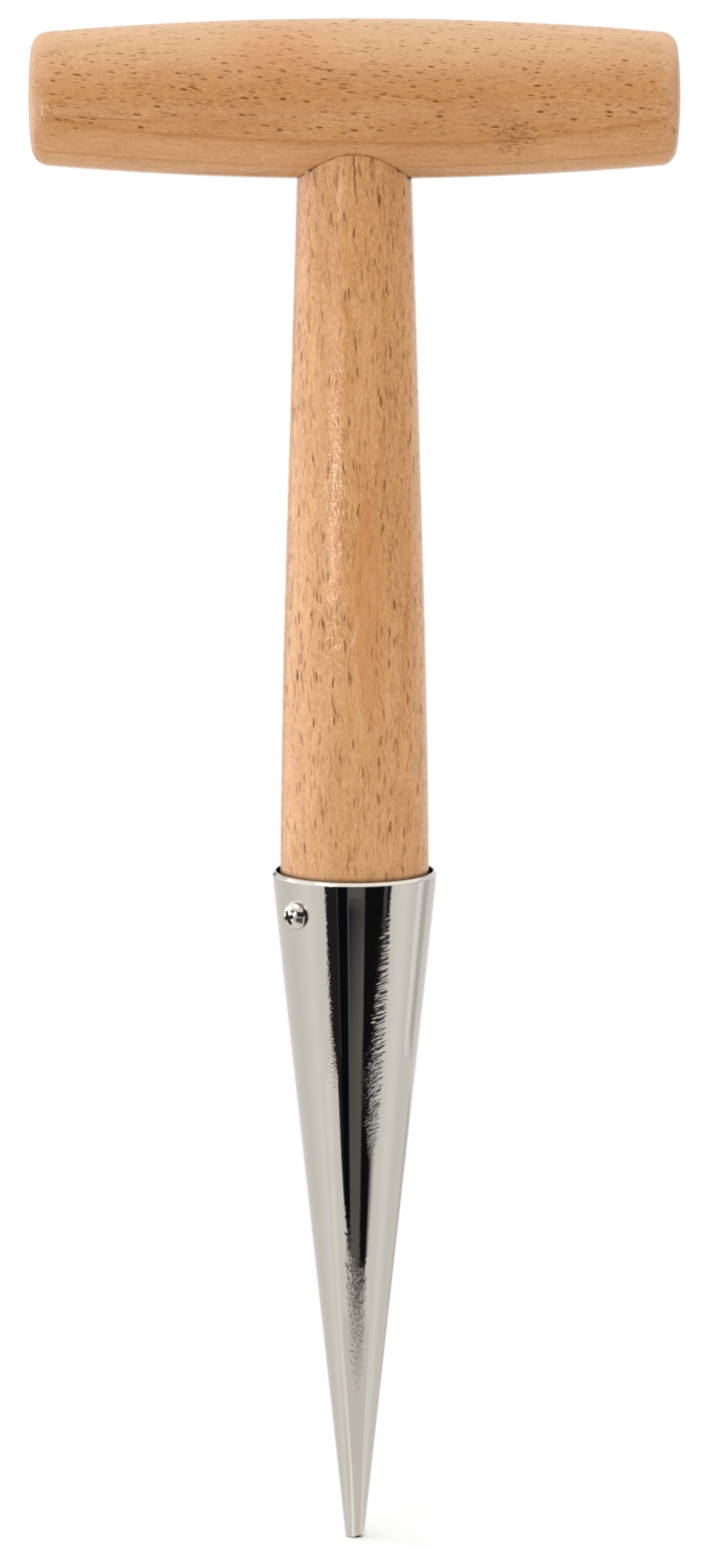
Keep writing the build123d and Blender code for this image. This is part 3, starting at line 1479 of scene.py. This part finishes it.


# Dark grain for pores, checks and marks, also used as painted shade beside the V dent.
DARK_GRAIN_AND_DENT_SHADE = (0.18, 0.045, 0.0)
# Painted highlight: pale light on a glossy patch and along the edges of the V dent.
PAINTED_HIGHLIGHT = (0.86, 0.54, 0.3)
CHIP_DARK = (0.05, 0.018, 0.005)
JOINT_CHIPS = (
    Stroke((0.85, 0.64, 0.44), 0.8, 0.0, -9.0, 271.05, 0.6, 0.22, -62, wander=0.0),
    Stroke(CHIP_DARK, 0.97, 1.0, -8.3, 271.35, 0.5, 0.32, -52, wander=0.0),
    Stroke(CHIP_DARK, 0.8, 0.6, -7.5, 271.9, 0.6, 0.17, -55, wander=0.0),
    Stroke(CHIP_DARK, 0.9, 0.6, 8.4, 271.3, 0.8, 0.2, 52, wander=0.0),
    Stroke(CHIP_DARK, 0.97, 1.0, 10.6, 269.7, 0.8, 0.35, 60, wander=0.0),
)
# Painted light on the crossbar's top: a whitish painted sheen and a paler painted band, where light from
# above falls.
PAINTED_TOP_SHEEN = Band((0.7, 0.42, 0.21), 0.38, 0.0, Axis.Z, 288.0, 297.0, 3.0)
PAINTED_TOP_LIGHT = Band((0.78, 0.56, 0.38), 0.25, 0.0, Axis.Z, 287.0, 297.0, 3.0)
# Darker rounded ends: painted shade that dims the light on the ends, partly the end grain's own darker
# tone.
END_SHADE_AND_GRAIN = Band((0.42, 0.19, 0.075), 0.45, 0.0, Axis.X, 58.0, 61.5)
# Painted shade on the shaft just where it goes into the spike's mouth.
RIM_SHADE = Band((0.1, 0.045, 0.018), 0.6, 0.0, Axis.Z, 135.8, 135.0)
HANDLE_BEECH = BeechFinish(
    name="handle_beech",
    grain=Grain.ALONG_X,
    pith=(0.0, 46.0, 272.0),
    reach=60.0,
    lean=(0.0, -1.0, 0.0),
    bow=0.0005,
    pale=(0.71, 0.383, 0.165),
    middle=(0.586, 0.28, 0.1),
    deep=(0.46, 0.189, 0.056),
    dark=DARK_GRAIN_AND_DENT_SHADE,
    pores=(
        Flecks(0.42, 2.3, 0.8, 0.2, 0.4, 0.5, 0.62, -0.07),
        Flecks(0.6, 2.2, 0.9, 0.28, 0.48, 0.28, 1.0, -0.07),
    ),
    marks=(
        # Rubbed ends, with painted light that keeps their upper half paler.
        WornEndsLitAbove((0.7, 0.42, 0.26), 0.5, 0.0, 57.0, 60.5, 273.0, 287.0),
        # Painted sheen on the crossbar's top.
        PAINTED_TOP_SHEEN,
        Blotch((0.6, 0.225, 0.05), 0.42, 0.0, -14.0, 294.0, 14.0, 6.5),
        Stroke(DARK_GRAIN_AND_DENT_SHADE, 0.6, 0.5, -6.0, 290.4, 3.2, 0.16, 88),
        Stroke(DARK_GRAIN_AND_DENT_SHADE, 0.42, 0.3, -45.0, 281.1, 14.0, 0.15, 87),
        PinKnot((0.24, 0.085, 0.022), 0.64, 0.4, 30.6, 277.6, 4.5, 4.0),
        GlueLine((0.17, 0.07, 0.022), 0.85, 0.5, 11.1, 0.32, 280.0),
        *JOINT_CHIPS,
    ),
    ring_spacing=4.55,
    ring_share=0.22,
    cloud_share=0.5,
    streak_share=0.5,
    fine_share=0.85,
    outer_share=0.012,
    under=(PAINTED_TOP_LIGHT, END_SHADE_AND_GRAIN),
    bare=(280.0, 275.0),
)
SHAFT_BEECH = BeechFinish(
    name="shaft_beech",
    grain=Grain.ALONG_Z,
    pith=(2.0, 38.77, 200.0),
    reach=52.0,
    lean=(3.4, 1.5, 0.0),
    bow=0.0,
    pale=(0.775, 0.438, 0.195),
    middle=(0.648, 0.324, 0.127),
    deep=(0.522, 0.226, 0.074),
    dark=DARK_GRAIN_AND_DENT_SHADE,
    pores=(
        Flecks(0.42, 9.0, 0.8, 0.18, 0.34, 0.5, 0.68),
        Flecks(0.44, 4.8, 0.8, 0.18, 0.38, 0.5, 0.68),
        Flecks(0.54, 4.0, 0.9, 0.26, 0.44, 0.27, 1.0),
    ),
    marks=(
        *JOINT_CHIPS,
        # Painted highlight: a pale glossy patch near the top of the shaft.
        Stroke(PAINTED_HIGHLIGHT, 0.35, 0.0, -2.6, 267.2, 6.0, 0.9, -4, wander=1.0),
        Stroke(DARK_GRAIN_AND_DENT_SHADE, 0.95, 1.0, 0.0, 271.5, 5.4, 0.22, 2),
        Stroke(DARK_GRAIN_AND_DENT_SHADE, 0.8, 0.8, -3.3, 269.5, 3.0, 0.14, -4),
        Stroke(DARK_GRAIN_AND_DENT_SHADE, 0.8, 0.8, 3.6, 273.3, 1.6, 0.14, 8),
        Stroke(DARK_GRAIN_AND_DENT_SHADE, 0.8, 0.8, 4.6, 266.0, 3.4, 0.16, 3),
        # The V dent: real dents with painted highlights along their edges; the dark strokes beside them are
        # painted shade.
        Stroke(PAINTED_HIGHLIGHT, 0.7, 2.0, 0.2, 183.2, 4.2, 0.42, -14, bend=1.1, wander=0.0),
        # Painted shade beside the dent's right arm.
        Stroke(DARK_GRAIN_AND_DENT_SHADE, 0.7, 0.5, -0.5, 185.3, 1.6, 0.14, -4, wander=0.1),
        Stroke(PAINTED_HIGHLIGHT, 0.8, 2.0, -3.8, 184.6, 1.3, 0.42, 14, wander=0.0),
        # Painted shade beside the dent's left arm.
        Stroke(DARK_GRAIN_AND_DENT_SHADE, 0.7, 0.5, -3.2, 185.2, 0.9, 0.16, 2, wander=0.1),
        # Painted shade beside the dent.
        Stroke(DARK_GRAIN_AND_DENT_SHADE, 0.6, 0.5, -2.2, 182.4, 1.7, 0.16, 24, wander=0.3),
        Stroke((0.6, 0.25, 0.078), 0.55, 0.0, 2.6, 188.0, 24.0, 4.4, 1),
        # Painted shade at the spike's mouth.
        RIM_SHADE,
    ),
    ring_spacing=4.0,
    ring_share=0.15,
    cloud_share=0.5,
    streak_share=0.7,
    fine_share=1.15,
    outer_share=0.0,
    sway_size=(3.4, 5.0, 4.4),
    sway=1.4,
    relief=0.06,
    crinkle=0.09,
)
BRIGHT_PLATE = PlateFinish(
    name="bright_plate",
    colour=(0.585, 0.56, 0.518),
    roughness=0.035,
    dent_depth=0.012,
    dent_size=6.0,
    scuffs=(
        Scuff(22, 105.0, 9, 25.0, 0.18, 18, 4.5, 0.8, 0.09),
        Scuff(15, 109.0, 7, 9.0, 0.12, 12, 3.5, 0.7, 0.02),
        Scuff(16, 92.0, 9, 15.0, 0.08, 35, 1.2, 0.3, 0.04),
        Scuff(-4, 46.5, 13, 19.0, 0.13, 75, 1.1, 0.6, 0.15),
        Scuff(8, 41.5, 13, 15.0, 0.13, 70, 1.0, 0.55, 0.15),
        Scuff(-20, 95.0, 4, 50.0, 0.018, 60, 0.5, 0.35, 0.0),
    ),
    # Darker at the very foot of the tip.
    dark_foot=0.25,
)
SCREW_PLATE = PlateFinish("screw_plate", (0.62, 0.585, 0.54), 0.1, 0.12, 0.8)

LAMPS = (
    Lamp("overhead_box", (-0.25, -0.2, 1.3), (0.0, 0.0, 0.2), (0.8, 0.8), 2.2),
    Lamp("side_strip", (-0.47, -0.65, 0.27), (0.0, 0.0, 0.21), (0.14, 0.5), 0.4),
    Lamp("left_box", (-1.0, 0.35, 0.45), (0.0, 0.0, 0.2), (0.6, 0.9), 2.2),
)
TOP_CARD = 0.12 * MM
FAR_TINT = ((0.01, 0.014, 0.03), (0.1, 0.095, 0.09))
FLAG_BLACK = (0.006, 0.007, 0.007)
LINE_LEFT = (0.12, 0.115, 0.11)
LINE_MIDDLE = (0.16, 0.16, 0.165)
CARDS = (
    FloorCard(
        "left_flag",
        even((0.004, 0.005, 0.007)),
        (
            (0.12, -18, -12), (0.135, -20, -12), (0.155, -24, -11.5), (0.178, -25, -11),
            (0.6, -25, -10),
        ),
    ),
    FloorCard(
        "left_flag_edge",
        even((0.022, 0.02, 0.019)),
        ((0.155, -26, -24), (0.178, -30, -25), (0.233, -33, -25), (0.256, -43, -25), (0.6, -43, -25)),
    ),
    FloorCard(
        "middle_flag",
        (
            ((0.75, 0.71, 0.68), (0.78, 0.74, 0.71)),
            ((0.42, 0.4, 0.37), (0.3, 0.29, 0.27)),
            ((0.16, 0.15, 0.135), (0.14, 0.133, 0.118)),
            ((0.12, 0.115, 0.105), (0.14, 0.133, 0.12)),
            ((0.085, 0.085, 0.085), (0.17, 0.162, 0.152)),
            ((0.05, 0.052, 0.06), (0.16, 0.152, 0.142)),
            FAR_TINT,
            FAR_TINT,
        ),
        (
            (0.078, -16, 30), (0.093, -15, 30), (0.115, -12, 15), (0.2, -12, 15), (0.255, -11, 16),
            (0.29, -10, 16), (0.33, -10, 16), (0.6, -10, 16),
        ),
    ),
    FloorCard(
        "far_smear",
        (FAR_TINT, *even((0.13, 0.13, 0.135)) * 2),
        ((0.334, -9, 15), (0.342, -9, 15), (0.6, -9, 15)),
        TOP_CARD,
    ),
    FloorCard(
        "right_flag",
        even(FLAG_BLACK),
        (
            (0.108, 16, 30), (0.125, 15, 33), (0.178, 15, 35), (0.199, 15, 37), (0.222, 15, 41),
            (0.25, 15, 45), (0.3, 16, 51), (0.6, 16, 52),
        ),
    ),
    FloorCard(
        "right_flag_fade",
        ((FLAG_BLACK, (0.95, 0.94, 0.92)),),
        (
            (0.13, 31, 38), (0.16, 32, 44), (0.199, 35, 46), (0.222, 39, 47), (0.25, 43.5, 48),
            (0.3, 50, 53), (0.6, 51, 54),
        ),
        0.1 * MM,
    ),
    FloorCard(
        "right_streak",
        even((0.085, 0.085, 0.085)),
        ((0.285, 42, 46), (0.33, 42, 47), (0.6, 42, 47)),
        TOP_CARD,
    ),
    FloorCard("left_line", even(LINE_LEFT), ((0.24, -25.6, -24.8), (0.6, -25.6, -24.8)), TOP_CARD),
    FloorCard("middle_line", even(LINE_MIDDLE), ((0.12, -12.4, -11.4), (0.6, -10.4, -8.8)), TOP_CARD),
    FloorCard(
        "near_fan",
        even((0.885, 0.845, 0.825)),
        ((0.002, -40, 70), (0.013, -42, 62), (0.06, -48, 58), (0.1, -60, 56)),
        0.06 * MM,
    ),
    FloorCard(
        "near_strip_left",
        (
            *(((0.9, 0.86, 0.83), (1.36, 1.31, 1.24)),) * 3,
            ((0.9, 0.87, 0.84), (1.28, 1.24, 1.16)),
            ((0.91, 0.89, 0.87), (1.16, 1.13, 1.05)),
            ((0.93, 0.92, 0.9), (1.12, 1.09, 1.02)),
            ((0.95, 0.94, 0.92), (1.1, 1.07, 1.0)),
            ((0.95, 0.94, 0.92), (1.08, 1.06, 1.0)),
        ),
        (
            (0.002, -34, 8), (0.013, -38, 0), (0.029, -36, -14), (0.05, -44, -29), (0.073, -54, -37),
            (0.092, -60, -42), (0.125, -63, -43), (0.24, -63, -43),
        ),
        soft=True,
    ),
    FloorCard(
        "near_strip_right",
        (
            *(((0.9, 0.87, 0.84), (1.2, 1.18, 1.12)),) * 4,
            ((0.92, 0.91, 0.89), (1.0, 0.99, 0.97)),
        ),
        ((0.002, 58, 92), (0.013, 58, 86), (0.029, 52, 68), (0.05, 51, 63), (0.1, 51, 63)),
        soft=True,
    ),
    FloorCard("right_rim_strip", even((1.09, 1.08, 1.06)), ((0.3, 101, 112), (0.7, 101, 112))),
    FloorCard("right_rim_shade", even((0.67, 0.66, 0.64)), ((0.33, 115, 131), (0.7, 115, 131))),
    FloorCard("low_edge_shade", even((0.66, 0.65, 0.62)), ((0.002, 132, 176), (0.33, 140, 176))),
    RingCard(
        "floor_levels",
        (1.0, 0.99, 0.97),
        (0.002, 0.7),
        (
            (-180, 0.9), (-150, 0.88), (-128, 0.9), (-106, 0.91), (-88, 0.98), (-74, 1.05), (-60, 0.98),
            (-50, 0.95), (-38, 0.95), (0, 0.95), (58, 0.95), (68, 1.03), (80, 1.04), (90, 0.95),
            (97, 0.91), (128, 0.88), (150, 0.87), (180, 0.9),
        ),
    ),
    FloorCard("back_flag", even((0.03, 0.03, 0.03)), ((0.12, 176, 184), (0.2, 173, 187), (0.6, 172, 188))),
    WallCard("dark_drape", (0.03, 0.03, 0.03), 1.5, (-62, 112), (0.0, 1.0)),
    WallCard("left_wash", (3.4, 3.35, 3.3), 0.6, (-160, -20), (0.03, 0.27), soft=True),
    WallCard("lower_glow", (29.0, 28.2, 27.0), 0.3, (-42, -28), (0.177, 0.208), soft=True),
    WallCard("upper_glow", (5.0, 4.86, 4.7), 0.3, (-42, -28), (0.208, 0.262), soft=True),
    CeilingCard("ceiling_card", (1.45, 1.38, 1.29), (-1.33, 1.33), (-0.625, 1.15), 1.25),
)


def main() -> None:
    """Build the pieces in order, then the studio round them."""
    logging.basicConfig(level=logging.INFO, format="%(name)s: %(message)s")
    spike = SteelSpike(BRIGHT_PLATE)
    handle, shaft = CrossbarHandle(HANDLE_BEECH), Shaft(SHAFT_BEECH, spike)
    for piece in (handle, shaft, spike, FixingScrew(SCREW_PLATE, spike)):
        piece.build()
    Studio(LAMPS, CARDS).build()


if __name__ == "__main__":
    main()
